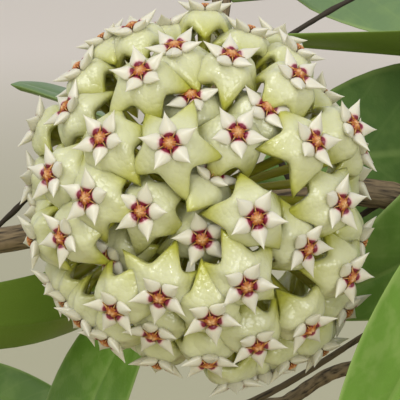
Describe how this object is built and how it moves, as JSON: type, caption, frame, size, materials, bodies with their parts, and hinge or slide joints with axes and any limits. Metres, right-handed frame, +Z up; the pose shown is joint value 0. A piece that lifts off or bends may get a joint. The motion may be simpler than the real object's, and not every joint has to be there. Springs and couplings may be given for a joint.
{
  "type": "potted hoya plant",
  "caption": "Wax plant in a plain round clay pot: woody arching vines, thick pointed leaves in pairs and a round head of star flowers held out in front.",
  "frame": {"origin": "on the floor, under the middle of the pot's foot", "axes": "+Z up along the pot's axis; -Y towards the side that the flower head faces; +X to the right as the picture sees it"},
  "size_m": [0.4326, 0.3144, 0.3542],
  "materials": {
    "clay": "unglazed fired clay, matt",
    "soil": "moist bark and peat mix",
    "vine": "thin grey-brown bark, matt",
    "leaf": "thick waxy leaf, satin",
    "petal": "waxy flower, satin"
  },
  "bodies": {
    "root": {"pot": "clay", "soil": "soil", "vine_front": "vine", "vine_right": "vine", "vine_shoot": "vine", "vine_back": "vine", "vine_left": "vine", "vine_far": "vine", "leaf_01": "leaf", "leaf_02": "leaf", "leaf_03": "leaf", "leaf_04": "leaf", "leaf_05": "leaf", "leaf_06": "leaf", "leaf_07": "leaf", "leaf_08": "leaf", "leaf_09": "leaf", "leaf_10": "leaf", "leaf_11": "leaf", "leaf_12": "leaf", "leaf_13": "leaf", "leaf_14": "leaf", "leaf_15": "leaf", "leaf_16": "leaf", "leaf_17": "leaf", "leaf_18": "leaf", "leaf_19": "leaf", "leaf_20": "leaf", "leaf_21": "leaf", "leaf_22": "leaf", "leaf_23": "leaf", "leaf_24": "leaf", "leaf_25": "leaf", "leaf_26": "leaf", "leaf_27": "leaf", "leaf_28": "leaf", "leaf_29": "leaf", "leaf_30": "leaf", "leaf_31": "leaf", "leaf_32": "leaf", "leaf_33": "leaf", "flower_umbel": "petal"}
  },
  "joints": []
}
